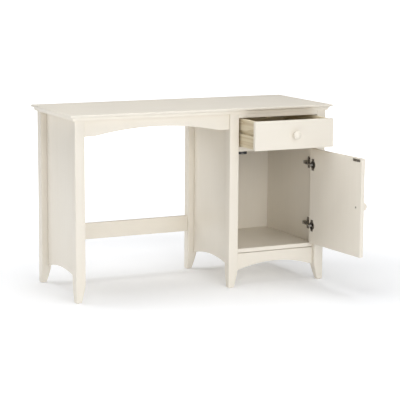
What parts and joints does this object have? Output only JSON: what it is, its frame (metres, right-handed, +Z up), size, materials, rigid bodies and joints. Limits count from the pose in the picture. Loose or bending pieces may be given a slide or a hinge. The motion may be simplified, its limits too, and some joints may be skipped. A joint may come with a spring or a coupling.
{
  "type": "pedestal writing desk",
  "caption": "Painted wooden writing desk with a moulded top, an open kneehole and a right-hand pedestal with a drawer over a hinged cupboard door.",
  "frame": {"origin": "on the floor, at the centre of the desk's outline seen from above with the door standing open", "axes": "+X towards the pedestal end, +Y from the front to the back, +Z up"},
  "size_m": [1.2, 0.8208, 0.77],
  "materials": {
    "painted_wood": "satin paint",
    "bare_pine": "clear matt",
    "nickelled_steel": "nickel plated",
    "black_plastic": "matt",
    "glide_plastic": "matt"
  },
  "bodies": {
    "desk_frame": {"desk_top": "painted_wood", "left_front_leg": "painted_wood", "left_rear_leg": "painted_wood", "pedestal_front_left_leg": "painted_wood", "pedestal_rear_left_leg": "painted_wood", "pedestal_front_right_leg": "painted_wood", "pedestal_rear_right_leg": "painted_wood", "left_end_panel": "painted_wood", "pedestal_left_panel": "painted_wood", "pedestal_right_panel": "painted_wood", "kneehole_apron": "painted_wood", "kneehole_back_rail": "painted_wood", "back_stretcher": "painted_wood", "drawer_top_rail": "painted_wood", "drawer_divider_rail": "painted_wood", "cupboard_floor": "painted_wood", "floor_battens": "bare_pine", "pedestal_front_apron": "painted_wood", "pedestal_back_panel": "painted_wood", "rail_dowels": "bare_pine", "top_fixing_blocks": "bare_pine", "top_fixing_screws": "nickelled_steel", "drawer_stop": "bare_pine", "drawer_stop_screw": "nickelled_steel", "left_drawer_runner": "bare_pine", "right_drawer_runner": "bare_pine", "runner_screws": "nickelled_steel", "lower_hinge_plate": "nickelled_steel", "upper_hinge_plate": "nickelled_steel", "lower_hinge_arm": "nickelled_steel", "upper_hinge_arm": "nickelled_steel", "hinge_plate_screws": "nickelled_steel", "hinge_arm_screws": "nickelled_steel", "hinge_pins": "nickelled_steel", "door_catch": "black_plastic", "catch_screws": "nickelled_steel", "foot_glides": "glide_plastic"},
    "drawer": {"drawer_front": "painted_wood", "drawer_left_side": "bare_pine", "drawer_right_side": "bare_pine", "drawer_back": "bare_pine", "drawer_bottom": "bare_pine", "drawer_knob": "painted_wood", "drawer_knob_screw": "nickelled_steel"},
    "door": {"door_panel": "painted_wood", "door_knob": "painted_wood", "door_knob_screw": "nickelled_steel", "door_strike_plate": "nickelled_steel", "strike_plate_screws": "nickelled_steel", "lower_hinge_cup": "nickelled_steel", "upper_hinge_cup": "nickelled_steel", "hinge_cup_screws": "nickelled_steel"},
    "hinge_links": {"lower_hinge_link": "nickelled_steel", "upper_hinge_link": "nickelled_steel"}
  },
  "joints": [
    {"name": "drawer_slide", "type": "slide", "parent": "desk_frame", "child": "drawer", "axis": [0, -1, 0], "range_m": [-0.163, 0.137]},
    {"name": "door_hinge", "type": "hinge", "parent": "desk_frame", "child": "door", "pos_m": [0.5336, -0.03607, 0.372], "axis": [0, 0, 1], "range_deg": [-94.6, 5.4]},
    {"name": "link_pivot", "type": "hinge", "parent": "desk_frame", "child": "hinge_links", "pos_m": [0.522, 0.00343, 0.372], "axis": [0, 0, 1], "range_deg": [-82.21, 4.79]}
  ],
  "couplings": [
    {"joint": "link_pivot", "follows": "door_hinge", "ratio": 0.868}
  ]
}
